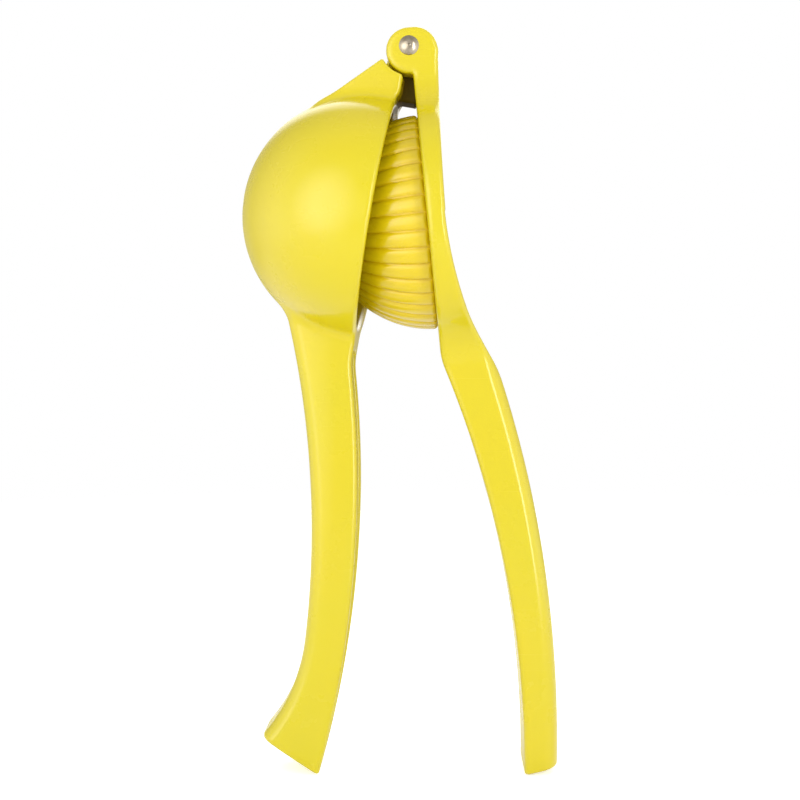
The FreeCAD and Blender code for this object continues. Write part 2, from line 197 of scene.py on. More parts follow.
def beyond_curve(u, v, curve, spacing=0.5):
    """Distance outwards from a curve v = curve(u), corrected for the slope of the curve."""
    slope = (curve(u + spacing) - curve(u - spacing)) / (2 * spacing)
    return (v - curve(u)) / np.sqrt(1 + slope * slope)


def beyond_line(u, v, start, end):
    """Distance from a straight line, positive on the side of larger u."""
    du, dv = end[0] - start[0], end[1] - start[1]
    length = math.hypot(du, dv)
    side = ((v - start[1]) * du - (u - start[0]) * dv) / length
    return side if dv < 0 else -side


def deep_ball(u, v, y, centre_v, radius):
    """A half ball, whose round side faces outwards, carried on as a cylinder on the other side."""
    outwards = np.maximum(v - centre_v, 0)
    return np.sqrt((u - CENTRE_DROP) ** 2 + y * y + outwards * outwards) - radius


# ---------------------------------------------------------------------------------------------
# The bowl arm
# ---------------------------------------------------------------------------------------------

BOWL_GRIP_LENGTH = 214.4
BOWL_GRIP_SLANT = 8.0
FLARE_CENTRE = (179.3, 52.7)
FLARE_CURVE = 52.0
LONG_CURVE = 277.0
JOIN_TURN = math.radians(3.0)
NECK_ANGLE = math.radians(45.0)
NECK_OFFSET = 1.5
NECK_STEP = 0.2
EYE_RADIUS = 5.4
NOSE_REACH = 15.66
SLOT_COUNT = 5
SLOT_NEAR = 3.9
SLOT_FAR = 6.0
SLOT_HALF = 1.2
SLOT_EDGE = 0.5
NECK_BACK = 3.0
NECK_CORNER = 7.0
NECK_EDGE = 0.6
TONGUE_EDGE = 0.6
TONGUE_FILLET = 1.2
BOWL_GRIP_START = 75.0
BOWL_END_EDGE = 0.8
BOWL_END_WALL = 3.0
RIM_OUTER_EDGE = 1.0
RIM_INNER_EDGE = 1.2
BOWL_CHANNEL_CORNER = 4.2
BOWL_CHANNEL_GAP = 3.5


def bowl_inner_curve(u):
    """The edge that faces the other arm: proud at the neck, then the rim, then one long arc."""
    rim = bpy.context.scene.squeezer_bowl.rim
    step = NECK_STEP + (rim - NECK_STEP) * ease(u, 13.2, 16.2)
    grip = arc_outset(np.maximum(u, GRIP_ARC_START), *BOWL_INNER_ARC)
    return soft_min(step, grip, 0.9)


def bowl_outer_curve(u, inset=0.0):
    """Outer line of the handle: a long arc, and from where their tangents agree, a tighter flare."""
    spread = LONG_CURVE - FLARE_CURVE
    long_u = FLARE_CENTRE[0] + spread * math.sin(JOIN_TURN)
    long_v = FLARE_CENTRE[1] + spread * math.cos(JOIN_TURN)
    long_r, flare_r = LONG_CURVE + inset, FLARE_CURVE + inset
    long_arc = long_v - np.sqrt(np.maximum(long_r ** 2 - (u - long_u) ** 2, 0))
    flare = FLARE_CENTRE[1] - np.sqrt(np.maximum(flare_r ** 2 - (u - FLARE_CENTRE[0]) ** 2, 0))
    return np.where(u < FLARE_CENTRE[0] - flare_r * math.sin(JOIN_TURN), long_arc, flare)


def bowl_end(u, v, inset=0.0):
    """The slanted end of the handle, moved in by inset."""
    inner = float(arc_outset(np.array(BOWL_GRIP_LENGTH), *BOWL_INNER_ARC))
    outer_u = BOWL_GRIP_LENGTH - BOWL_GRIP_SLANT
    outer = float(bowl_outer_curve(np.array(outer_u)))
    return beyond_line(u, v, (outer_u, outer), (BOWL_GRIP_LENGTH, inner)) + inset


def neck_top(u, v):
    """Distance above the neck's straight top edge, which runs down from the hinge to the cup."""
    return v * math.cos(NECK_ANGLE) - u * math.sin(NECK_ANGLE) - NECK_OFFSET


def juice_slot_field(u, v, y):
    """Rounded slots on rays from the cup's axis; one ray points to the handle."""
    nearest = np.full(np.shape(u), CENTRE_DROP)
    for index in range(SLOT_COUNT):
        turn = 2 * math.pi * index / SLOT_COUNT
        along = (u - CENTRE_DROP) * math.cos(turn) + y * math.sin(turn)
        across = -(u - CENTRE_DROP) * math.sin(turn) + y * math.cos(turn)
        past = along - np.clip(along, SLOT_NEAR, SLOT_FAR)
        nearest = np.minimum(nearest, np.hypot(past, across) - SLOT_HALF)
    return np.maximum(nearest, 25.0 - v)


def tongue_field(u, v, y):
    """The plate between the ears: the outline of an eye round the pin and of a nose below it."""
    eye = np.hypot(u, v) - EYE_RADIUS
    front = beyond_line(v, -u, (-EYE_RADIUS, 0.0), (-4.5, -15.0))
    nose = np.maximum(np.hypot(u, v) - NOSE_REACH, u - 15.0)
    web = np.maximum(np.maximum(nose, neck_top(u, v)), np.maximum(-front, -3.0 - u))
    web = np.maximum(web, v - 6.0)
    outline = round_union(eye, web, 2.0)
    return round_common(outline, np.abs(y) - TONGUE_HALF, TONGUE_EDGE)


def bowl_field(u, v, y):
    """The whole casting: cup, neck and handle joined with fillets, then hollowed, then the tongue.

    The cup is a deep half ball less a thinner one.  The neck is a wedge between its top line, the
    rim and a circle round the pin.  The handle lies between two curves and has rounded corners.
    """
    sizes = bpy.context.scene.squeezer_bowl
    centre_v = sizes.rim + sizes.collar
    ball = deep_ball(u, v, y, centre_v, sizes.radius)
    relief = EAR_DROP + EAR_RADIUS + SWING_GAP - np.hypot(u, v)
    past = (u - CENTRE_DROP) * math.cos(NECK_ANGLE) + (v - centre_v) * math.sin(NECK_ANGLE)
    wedge = np.maximum(round_common(neck_top(u, v), past + NECK_BACK, NECK_CORNER), relief)
    neck = round_common(wedge, np.abs(y) - KNUCKLE_HALF, NECK_EDGE)
    body = round_union(ball, neck, sizes.neck_blend)
    outer = beyond_curve(u, v, bowl_outer_curve)
    across = outer / np.maximum(bowl_outer_curve(u) - bowl_inner_curve(u), 1.0)
    crown = sizes.crown * np.minimum((2 * across + 1) ** 2, 1.4)
    grip = round_common(outer, np.abs(y) - HANDLE_HALF + crown, sizes.back_round)
    grip = np.maximum(round_common(grip, bowl_end(u, v), BOWL_END_EDGE), BOWL_GRIP_START - u)
    body = round_union(body, grip, sizes.handle_blend)
    body = round_common(body, -beyond_curve(u, v, bowl_inner_curve), RIM_OUTER_EDGE)
    cavity = deep_ball(u, v, y, centre_v, sizes.radius - sizes.wall)
    body = round_common(body, -cavity, RIM_INNER_EDGE)
    inner = beyond_curve(u, v, lambda x: bowl_outer_curve(x, HANDLE_WALL))
    channel = round_common(inner, np.abs(y) - HANDLE_HALF + HANDLE_WALL, BOWL_CHANNEL_CORNER)
    channel = round_common(channel, bowl_end(u, v, BOWL_END_WALL), CHANNEL_ROOT_ROUND)
    root = CENTRE_DROP + sizes.radius + BOWL_CHANNEL_GAP
    channel = round_common(channel, root - u, CHANNEL_ROOT_ROUND)
    body = round_common(body, -channel, CHANNEL_EDGE)
    body = round_common(body, -juice_slot_field(u, v, y), SLOT_EDGE)
    tongue = np.maximum(tongue_field(u, v, y), -cavity)
    return round_union(body, tongue, TONGUE_FILLET)


# ---------------------------------------------------------------------------------------------
# The plunger arm
# ---------------------------------------------------------------------------------------------

LEVEL_ROUNDS = 20
SWELL_CURVE = 100.0
HIP = (84.0, 11.2)
HIP_SLOPE = 0.46
SHELL_GAP = 0.35
SHELL_BASE = 3.0
DOME_WALL = 3.2
DOME_BACK_EDGE = 1.4
FORK_CORNER = 1.0
FORK_EDGE = 0.8
EAR_FILLET = 0.6
PLUNGER_END_EDGE = 1.0
PLUNGER_END_WALL = 4.0
PLUNGER_CHANNEL_CORNER = 1.8
PLUNGER_CHANNEL_GAP = 9.0


def plunger_length():
    """Drop of the handle's end that stands level with the end of the other handle."""
    end_v = float(arc_outset(np.array(BOWL_GRIP_LENGTH), *BOWL_INNER_ARC))
    level = BOWL_GRIP_LENGTH * math.cos(BOWL_LEAN) - end_v * math.sin(BOWL_LEAN)
    length = BOWL_GRIP_LENGTH
    for _ in range(LEVEL_ROUNDS):
        end_v = float(arc_outset(np.array(length), *PLUNGER_INNER_ARC))
        length = (level + end_v * math.sin(PLUNGER_LEAN)) / math.cos(PLUNGER_LEAN)
    return length


def plunger_inner_curve(u):
    """The edge that faces the cup: the flat of the flange, then one long arc away from it."""
    grip = arc_outset(np.maximum(u, GRIP_ARC_START), *PLUNGER_INNER_ARC)
    return soft_max(bpy.context.scene.squeezer_plunger.flange_face + u * 0, grip, 0.9)


def plunger_back_curve(u):
    """The back edge: it narrows down the strap to a waist, swells to a hip, and is then one arc."""
    sizes = bpy.context.scene.squeezer_plunger
    waist = sizes.flange_face + sizes.flange_thickness
    strap = STRAP_TOP + (waist - STRAP_TOP) * (u - EAR_DROP) / (WAIST_DROP - 7.0 - EAR_DROP)
    swell = arc_outset(np.clip(u, 20.0, 100.0), WAIST_DROP, waist, SWELL_CURVE)
    upper = soft_max(strap, np.where(u < WAIST_DROP, waist, swell), 1.6)
    hip = HIP[1] + HIP_SLOPE * (u - HIP[0])
    grip = arc_outset(np.clip(u, GRIP_ARC_START, 230.0), *PLUNGER_OUTER_ARC)
    lower = soft_min(soft_max(swell, hip, 0.8), grip, 0.9)
    return np.where(u < WAIST_DROP, upper, lower)


def plunger_end(u, v, inset=0.0):
    """The nearly square end of the handle, moved in by inset."""
    length = plunger_length()
    inner = float(arc_outset(np.array(length), *PLUNGER_INNER_ARC))
    outer = float(arc_outset(np.array(length), *PLUNGER_OUTER_ARC))
    return beyond_line(u, v, (length - 1.2, outer), (length, inner)) + inset


def plunger_field(u, v, y):
    """The whole casting: a side outline and a plan outline in common, then hollowed.

    Seen from the side it lies between its inner and its back curve, joined at the top to a rounded
    ear.  Seen from the front it is a disc joined to two strips.  A slot parts the ears, a ball
    hollows the dome from behind, and a channel hollows the handle.
    """
    sizes = bpy.context.scene.squeezer_plunger
    dome = bpy.context.scene.squeezer_dome
    half = np.where(u < CENTRE_DROP, KNUCKLE_HALF, HANDLE_HALF)
    disc = np.hypot(u - CENTRE_DROP, y) - sizes.flange_radius
    plan = round_union(disc, np.abs(y) - half, sizes.plan_blend)
    back = np.maximum(beyond_curve(u, v, plunger_back_curve), EAR_DROP - u)
    inner = -beyond_curve(u, v, plunger_inner_curve)
    ear = np.hypot(u - EAR_DROP, v - np.clip(v, 0.0, STRAP_TOP - EAR_RADIUS)) - EAR_RADIUS
    side = round_union(np.maximum(back, inner), ear, EAR_FILLET)
    at_back = ease(back - inner, -3.0, 3.0) * ease(u, 86.0, 101.0)
    edge = sizes.edge_round + (sizes.back_round - sizes.edge_round) * at_back
    body = round_common(side, plan, edge)
    body = round_common(body, plunger_end(u, v), PLUNGER_END_EDGE)
    ball = np.sqrt((u - CENTRE_DROP) ** 2 + (v - dome.outset) ** 2 + y * y)
    shell = np.maximum(ball - dome.radius + dome.depth + SHELL_GAP, v - SHELL_BASE)
    body = round_union(body, shell, 0.4)
    slot = round_common(np.abs(y) - FORK_HALF, u - FORK_DROP, FORK_CORNER)
    body = round_common(body, -slot, FORK_EDGE)
    hollow = deep_ball(u, 2 * dome.outset - v, y, dome.outset, dome.radius - DOME_WALL)
    body = round_common(body, -hollow, DOME_BACK_EDGE)
    floor = inner + HANDLE_WALL
    channel = round_common(floor, np.abs(y) - CHANNEL_HALF, PLUNGER_CHANNEL_CORNER)
    channel = round_common(channel, plunger_end(u, v, PLUNGER_END_WALL), 1.5)
    root = CENTRE_DROP + sizes.flange_radius + PLUNGER_CHANNEL_GAP
    channel = round_common(channel, root - u, CHANNEL_ROOT_ROUND)
    return round_common(body, -channel, CHANNEL_EDGE)


# ---------------------------------------------------------------------------------------------
# From a field to a mesh
# ---------------------------------------------------------------------------------------------

def surface_net(field, low, high, cell):
    """The quads of the surface where a field is zero.

    The field is sampled on a grid.  Each grid cell that the surface crosses gets one vertex, at the
    mean of the points where it crosses the cell's edges, and each crossed edge gets one quad, from
    the vertices of the four cells round it.
    """
    axes = [np.arange(a, b + cell, cell) for a, b in zip(low, high)]
    grid = np.meshgrid(*axes, indexing="ij")
    values = field(*grid)
    shape = np.array(values.shape)
    inside = values < 0
    total = int(np.prod(shape))
    sums = np.zeros((3, total))
    count = np.zeros(total)
    strides = np.array([shape[1] * shape[2], shape[2], 1])
    quads = []
    for axis in range(3):
        first = [slice(None)] * 3
        second = [slice(None)] * 3
        first[axis], second[axis] = slice(0, -1), slice(1, None)
        first, second = tuple(first), tuple(second)
        index = np.array(np.nonzero(inside[first] != inside[second]))
        index = index[:, np.all(index > 0, axis=0)]
        here = values[tuple(index)]
        step = np.eye(3, dtype=int)[axis][:, None]
        there = values[tuple(index + step)]
        point = index.astype(float)
        point[axis] += here / (here - there)
        b, c = (axis + 1) % 3, (axis + 2) % 3
        flat = strides @ index
        ring = [flat, flat - strides[b], flat - strides[b] - strides[c], flat - strides[c]]
        for cells in ring:
            count += np.bincount(cells, minlength=total)
            for k in range(3):
                sums[k] += np.bincount(cells, weights=point[k], minlength=total)
        faces = np.stack(ring, axis=1)
        faces[here >= 0] = faces[here >= 0][:, ::-1]
        quads.append(faces)
    used = np.nonzero(count)[0]
    number = np.full(total, -1)
    number[used] = np.arange(len(used))
    points = (sums[:, used] / count[used]).T * cell + np.array([a[0] for a in axes])
    return points, number[np.concatenate(quads)]


def slope_of(field, points, spacing):
    """The field's gradient by central differences."""
    slopes = []
    for axis in range(3):
        step = np.zeros(3)
        step[axis] = spacing
        ahead, behind = points + step, points - step
        slopes.append((field(*ahead.T) - field(*behind.T)) / (2 * spacing))
    return np.stack(slopes, axis=1)


def settle(field, points, quads, rounds=3):
    """Evens the mesh out and puts it back on the surface.

    Each round moves every vertex half way to the mean of its neighbours, and then along the
    gradient by the field's value over the gradient's length.
    """
    pairs = np.concatenate([quads[:, [0, 1]], quads[:, [1, 2]], quads[:, [2, 3]], quads[:, [3, 0]]])
    size = len(points)
    for turn in range(rounds + 1):
        if turn < rounds:
            total = np.bincount(pairs[:, 0], minlength=size) + np.bincount(pairs[:, 1], minlength=size)
            mean = np.stack([
                np.bincount(pairs[:, 0], weights=points[pairs[:, 1], k], minlength=size)
                + np.bincount(pairs[:, 1], weights=points[pairs[:, 0], k], minlength=size)
                for k in range(3)], axis=1) / total[:, None]
            points = 0.5 * points + 0.5 * mean
        for _ in range(2):
            slope = slope_of(field, points, 0.02)
            steepness = np.maximum(np.sum(slope * slope, axis=1), 0.2)
            points = points - np.clip(field(*points.T) / steepness, -0.4, 0.4)[:, None] * slope
    return points


def bend_of(field, points, spacing=0.9):
    """How sharply the surface bends, from -1 in a tight hollow to 1 on a tight edge."""
    around = sum(
        field(*(points + spacing * sign * np.eye(3)[axis]).T) for axis in range(3) for sign in (-1, 1))
    bend = (around - 6 * field(*points.T)) / spacing ** 2
    return np.clip(bend * 0.5, -1, 1)


def arm_to_row(points, sign, lean):
    """Turns drop, outset and y into the frame's metres: sign is -1 on the cup's side, else 1."""
    u, v, y = points.T
    x = PIN[0] + sign * (math.sin(lean) * u + math.cos(lean) * v)
    z = PIN[2] - math.cos(lean) * u + math.sin(lean) * v
    return np.stack([x, PIN[1] + y, z], axis=1) * MM


def painted_hinge_shade_of(points):
    """How much painted shade, a dark brown, lies on a point: 1 below the pin, deep in the slot between
    the ears, else 0.
    """
    u, v, y = points.T
    below_pin = ease(u, 4.0, 8.0) * (1 - ease(u, 14.0, 19.0))
    between_ears = ease(FORK_HALF + 0.6 - np.abs(y), 0.0, 0.7)
    return between_ears * below_pin * (1 - ease(v, 0.3, 2.5))


def make_mesh(name, points, faces, masks=None, fans=()):
    """A mesh object from whole arrays, smooth, at the origin, with a named value for each mask.

    The fans are triangles that close poles.
    """
    mesh = bpy.data.meshes.new(name)
    mesh.from_pydata(points.tolist(), [], faces.tolist() + [list(fan) for fan in fans])
    mesh.polygons.foreach_set("use_smooth", np.ones(len(mesh.polygons), dtype=bool))
    for label, values in (masks or {}).items():
        mesh.attributes.new(label, "FLOAT", "POINT")
        mesh.attributes[label].data.foreach_set("value", values.astype(np.float32))
    mesh.validate()
    mesh.update()
    piece = bpy.data.objects.new(name, mesh)
    bpy.context.scene.collection.objects.link(piece)
    return piece


def encloses(points, faces):
    """Six times the volume that the quads enclose, positive if they face outwards."""
    middle = points.mean(axis=0)
    a, b, c, d = (points[faces[:, k]] - middle for k in range(4))
    return np.sum(a * np.cross(b, c)) + np.sum(a * np.cross(c, d))


def turned_outwards(points, faces):
    return faces if encloses(points, faces) > 0 else faces[:, ::-1]


def cast_piece(name, field, low, high, cell, sign, lean):
    """A casting: its field meshed, settled, measured for bend and put in place."""
    points, faces = surface_net(field, low, high, cell)
    points = settle(field, points, faces)
    # The second mask marks where painted shade, a dark brown, goes between the ears.
    masks = {"bend": bend_of(field, points), "painted_hinge_shade": painted_hinge_shade_of(points)}
    placed = arm_to_row(points, sign, lean)
    return make_mesh(name, placed, turned_outwards(placed, faces), masks)


# ---------------------------------------------------------------------------------------------
# Materials
# ---------------------------------------------------------------------------------------------

def add_node(tree, kind, place, **values):
    """A node with its plain properties and named inputs set."""
    node = tree.nodes.new(kind)
    node.location = place
    for key, value in values.items():
        if key in node.inputs:
            node.inputs[key].default_value = value
        else:
            setattr(node, key, value)
    return node


def new_group(name, inputs, outputs):
    """An empty shader group with float or colour sockets."""
    group = bpy.data.node_groups.new(name, "ShaderNodeTree")
    for label, kind, default in inputs:
        socket = group.interface.new_socket(label, in_out="INPUT", socket_type=kind)
        socket.default_value = default
    for label, kind in outputs:
        group.interface.new_socket(label, in_out="OUTPUT", socket_type=kind)
    return group, group.nodes.new("NodeGroupInput"), group.nodes.new("NodeGroupOutput")


def noise(tree, vector, scale, detail, place, roughness=0.5):
    node = add_node(tree, "ShaderNodeTexNoise", place, Scale=scale, Detail=detail, Roughness=roughness)
    tree.links.new(vector, node.inputs["Vector"])
    return node.outputs["Fac"]


def remap(tree, value, low, high, to_low, to_high, place):
    """Carries a value from one range to another, held at both ends."""
    node = add_node(tree, "ShaderNodeMapRange", place)
    for key, number in zip(("From Min", "From Max", "To Min", "To Max"), (low, high, to_low, to_high)):
        node.inputs[key].default_value = number
    tree.links.new(value, node.inputs["Value"])
    return node.outputs["Result"]


def combine(tree, operation, a, b, place):
    node = add_node(tree, "ShaderNodeMath", place, operation=operation)
    for socket, value in zip(node.inputs, (a, b)):
        if isinstance(value, (int, float)):
            socket.default_value = value
        else:
            tree.links.new(value, socket)
    return node.outputs[0]


def mix_colours(tree, factor, first, second, place):
    """Goes from the first colour to the second as the factor goes from 0 to 1."""
    mix = add_node(tree, "ShaderNodeMix", place, data_type="RGBA")
    tree.links.new(factor, mix.inputs["Factor"])
    sockets = [socket for socket in mix.inputs if socket.type == "RGBA"]
    for socket, colour in zip(sockets, (first, second)):
        if isinstance(colour, tuple):
            socket.default_value = (*colour, 1.0)
        else:
            tree.links.new(colour, socket)
    return next(socket for socket in mix.outputs if socket.type == "RGBA")


def orange_peel_group():
    """Orange peel: two soft noises added, as the height of a coat that flowed before it set."""
    group, source, sink = new_group(
        "Coat Ripple",
        [("Vector", "NodeSocketVector", (0, 0, 0)), ("Scale", "NodeSocketFloat", 200.0),
         ("Amount", "NodeSocketFloat", 1.0)],
        [("Height", "NodeSocketFloat")])
    fine = add_node(group, "ShaderNodeTexNoise", (-300, 100), Detail=1.0)
    group.links.new(source.outputs["Vector"], fine.inputs["Vector"])
    group.links.new(source.outputs["Scale"], fine.inputs["Scale"])
    broad = add_node(group, "ShaderNodeTexNoise", (-300, -150), Detail=2.0)
    group.links.new(source.outputs["Vector"], broad.inputs["Vector"])
    quarter = combine(group, "MULTIPLY", source.outputs["Scale"], 0.22, (-500, -200))
    group.links.new(quarter, broad.inputs["Scale"])
    wide = combine(group, "MULTIPLY", broad.outputs["Fac"], 1.6, (-100, -150))
    both = combine(group, "ADD", fine.outputs["Fac"], wide, (60, 0))
    scaled = combine(group, "MULTIPLY", both, source.outputs["Amount"], (220, 0))
    group.links.new(scaled, sink.inputs["Height"])
    return group


def handling_group():
    """Handling marks: faint smudges and hairline scratches, as a value to add to the roughness."""
    group, source, sink = new_group(
        "Handling Marks",
        [("Vector", "NodeSocketVector", (0, 0, 0)), ("Smudges", "NodeSocketFloat", 0.05),
         ("Hairlines", "NodeSocketFloat", 0.1)],
        [("Marks", "NodeSocketFloat"), ("Lines", "NodeSocketFloat")])
    smear = noise(group, source.outputs["Vector"], 38.0, 5.0, (-500, 150), 0.62)
    patch = remap(group, smear, 0.45, 0.72, 0.0, 1.0, (-300, 150))
    stretch = add_node(group, "ShaderNodeMapping", (-700, -150))
    stretch.inputs["Rotation"].default_value = (0.4, 0.7, 0.2)
    stretch.inputs["Scale"].default_value = (1.0, 14.0, 90.0)
    group.links.new(source.outputs["Vector"], stretch.inputs["Vector"])
    streak = noise(group, stretch.outputs["Vector"], 22.0, 2.0, (-500, -150), 0.4)
    line = remap(group, streak, 0.70, 0.76, 0.0, 1.0, (-300, -150))
    soft = combine(group, "MULTIPLY", patch, source.outputs["Smudges"], (-100, 150))
    hard = combine(group, "MULTIPLY", line, source.outputs["Hairlines"], (-100, -150))
    group.links.new(combine(group, "ADD", soft, hard, (80, 0)), sink.inputs["Marks"])
    group.links.new(hard, sink.inputs["Lines"])
    return group


def group_node(tree, group, place, **values):
    node = tree.nodes.new("ShaderNodeGroup")
    node.node_tree = group
    node.location = place
    for key, value in values.items():
        node.inputs[key].default_value = value
    return node


THIN_ENAMEL = (0.64, 0.56, 0.08)
# Painted shade: a dark brown laid below the pin between the ears, where shade falls.
PAINTED_HINGE_SHADE = (0.055, 0.028, 0.003)
DULL_STEEL = (0.26, 0.21, 0.15)
FLOOR_COLOURS = ((0.90, 0.90, 0.90), (0.93, 0.93, 0.925))


def enamel_material(ripple, marks):
    """Glossy enamel fired over cast metal.

    The colour deepens to a warmer orange in hollows, partly where the coat pools and partly as painted
    shade, and the pressing dome takes it all over as painted light; it thins to a paler line on tight
    edges.
    Painted shade, a dark brown, darkens, roughens and dulls it in the hinge between the ears, and its
    clear top coat shows least where it is seen edge on.
    """
    finish = bpy.context.scene.squeezer_finish
    material = bpy.data.materials.new("Yellow Enamel")
    material.use_nodes = True
    tree = material.node_tree
    shader = tree.nodes["Principled BSDF"]
    coords = add_node(tree, "ShaderNodeTexCoord", (-1400, 0)).outputs["Object"]
    bend = add_node(tree, "ShaderNodeAttribute", (-1400, -300), attribute_name="bend").outputs["Fac"]
    hollow = remap(tree, bend, -0.05, -0.6, 0.0, 1.0, (-1150, -300))
    edge = remap(tree, bend, 0.35, 1.0, 0.0, 1.0, (-1150, -520))
    drift = noise(tree, coords, 24.0, 3.0, (-1150, 200))
    cloud = remap(tree, drift, 0.35, 0.7, 0.0, 0.16, (-950, 200))
    # The pooled colour is part pooled enamel, part painted shade in hollows; the cloud adds it at
    # random.
    pool_and_shade = combine(tree, "MAXIMUM", combine(tree, "MULTIPLY", hollow, 0.75, (-950, -300)),
                     cloud, (-760, 0))
    coat = mix_colours(tree, pool_and_shade, tuple(finish.enamel), tuple(finish.enamel_pool_and_shade), (-560, 200))
    thinness = combine(tree, "MULTIPLY", edge, 0.35, (-540, -420))
    coat = mix_colours(tree, thinness, coat, THIN_ENAMEL, (-340, 200))
    # Painted shade: the dark brown is mixed in below the pin between the ears.
    painted_hinge_shade = add_node(tree, "ShaderNodeAttribute", (-540, 480), attribute_name="painted_hinge_shade").outputs["Fac"]
    painted_shade_weight = combine(tree, "MULTIPLY", painted_hinge_shade, 0.9, (-340, 480))
    coat = mix_colours(tree, painted_shade_weight, coat, PAINTED_HINGE_SHADE, (-160, 260))
    tree.links.new(coat, shader.inputs["Base Color"])
    wear = group_node(tree, marks, (-760, -600), Smudges=0.03, Hairlines=0.03)
    tree.links.new(coords, wear.inputs["Vector"])
    rough = combine(tree, "ADD", wear.outputs["Marks"], 0.27, (-340, -300))
    dull = combine(tree, "MULTIPLY", painted_hinge_shade, 0.4, (-340, -480))
    tree.links.new(combine(tree, "ADD", rough, dull, (-160, -300)), shader.inputs["Roughness"])
    peel = group_node(tree, ripple, (-760, -850), Scale=260.0, Amount=1.0)
    tree.links.new(coords, peel.inputs["Vector"])
    bump = add_node(tree, "ShaderNodeBump", (-340, -650), Strength=0.035, Distance=0.0006)
    tree.links.new(peel.outputs["Height"], bump.inputs["Height"])
    tree.links.new(bump.outputs["Normal"], shader.inputs["Normal"])
    slant = add_node(tree, "ShaderNodeLayerWeight", (-340, -900), Blend=0.5).outputs["Facing"]
    gloss = remap(tree, slant, 0.45, 0.92, 0.8, 0.03, (-160, -900))
    # The clear coat also thins out on the painted shade in the hinge.
    tree.links.new(combine(tree, "SUBTRACT", gloss, painted_hinge_shade, (20, -900)), shader.inputs["Coat Weight"])
    shader.inputs["IOR"].default_value = 1.36
    shader.inputs["Specular Tint"].default_value = (1.0, 0.93, 0.62, 1.0)
    shader.inputs["Coat Roughness"].default_value = 0.05
    shader.inputs["Coat IOR"].default_value = 1.5
    return material


def steel_material(ripple, marks):
    """Polished stainless steel: bright, with the soft dents and hairlines of a set rivet."""
    finish = bpy.context.scene.squeezer_finish
    material = bpy.data.materials.new("Polished Steel")
    material.use_nodes = True
    tree = material.node_tree
    shader = tree.nodes["Principled BSDF"]
    coords = add_node(tree, "ShaderNodeTexCoord", (-1200, 0)).outputs["Object"]
    tint = noise(tree, coords, 420.0, 3.0, (-1000, 200))
    patch = remap(tree, tint, 0.45, 0.75, 0.0, 1.0, (-800, 200))
    tree.links.new(mix_colours(tree, patch, tuple(finish.steel), DULL_STEEL, (-560, 200)),
                   shader.inputs["Base Color"])
    wear = group_node(tree, marks, (-760, -200), Smudges=0.06, Hairlines=0.2)
    tree.links.new(coords, wear.inputs["Vector"])
    rough = combine(tree, "ADD", wear.outputs["Marks"], 0.17, (-340, -100))
    tree.links.new(rough, shader.inputs["Roughness"])
    dents = group_node(tree, ripple, (-760, -450), Scale=900.0, Amount=1.0)
    tree.links.new(coords, dents.inputs["Vector"])
    bump = add_node(tree, "ShaderNodeBump", (-340, -350), Strength=0.12, Distance=0.0002)
    tree.links.new(dents.outputs["Height"], bump.inputs["Height"])
    tree.links.new(bump.outputs["Normal"], shader.inputs["Normal"])
    shader.inputs["Metallic"].default_value = 1.0
    return material


def floor_material():
    """A pale, faintly mottled sheet that glows a little and fades out with distance."""
    material = bpy.data.materials.new("Pale Floor")
    material.use_nodes = True
    tree = material.node_tree
    shader = tree.nodes["Principled BSDF"]
    coords = add_node(tree, "ShaderNodeTexCoord", (-900, 0)).outputs["Object"]
    mottle = noise(tree, coords, 3.0, 3.0, (-700, 0))
    tree.links.new(mix_colours(tree, mottle, *FLOOR_COLOURS, (-300, 0)), shader.inputs["Base Color"])
    distance = add_node(tree, "ShaderNodeVectorMath", (-500, -300), operation="LENGTH")
    tree.links.new(coords, distance.inputs[0])
    fade = remap(tree, distance.outputs["Value"], 0.16, 0.75, 1.0, 0.0, (-300, -300))
    tree.links.new(fade, shader.inputs["Alpha"])
    seen = add_node(tree, "ShaderNodeLightPath", (-500, -600)).outputs["Is Camera Ray"]
    tree.links.new(remap(tree, seen, 0.0, 1.0, 0.12, 0.5, (-300, -600)),
                   shader.inputs["Emission Strength"])
    shader.inputs["Emission Color"].default_value = (1.0, 1.0, 1.0, 1.0)
    shader.inputs["Roughness"].default_value = 0.8
    return material


def finish_piece(piece, material, body, slot, *nodes):
    """Gives a piece its finish and its body, and hides the CAD nodes that it stands for. The slot is not
    used.
    """
    piece.data.materials.append(material)
    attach(piece, body)
    if nodes:
        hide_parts(*nodes)
    return piece


# ---------------------------------------------------------------------------------------------
# Operators
# ---------------------------------------------------------------------------------------------

class SQUEEZER_OT_materials(bpy.types.Operator):
    """Make the enamel and steel finishes"""
    bl_idname = "squeezer.materials"
    bl_label = "Make Finishes"

    def execute(self, context):
        ripple, marks = orange_peel_group(), handling_group()
        enamel_material(ripple, marks)
        steel_material(ripple, marks)
        return {"FINISHED"}


class SQUEEZER_OT_bowl_arm(bpy.types.Operator):
    """Build the arm with the cup, the neck, the tongue and the flared handle"""
    bl_idname = "squeezer.bowl_arm"
    bl_label = "Build Bowl Arm"

    def execute(self, context):
        sizes = context.scene.squeezer_bowl
        depth = sizes.rim + sizes.collar + sizes.radius
        low = (-9.0, -15.0, -sizes.radius - 2)
        high = (BOWL_GRIP_LENGTH + 3, depth + 2, sizes.radius + 2)
        piece = cast_piece("bowl_casting", bowl_field, low, high, sizes.cell, -1, BOWL_LEAN)
        finish_piece(piece, bpy.data.materials["Yellow Enamel"], BOWL_BODY, "yellow_enamel", "bowl_arm")
        return {"FINISHED"}


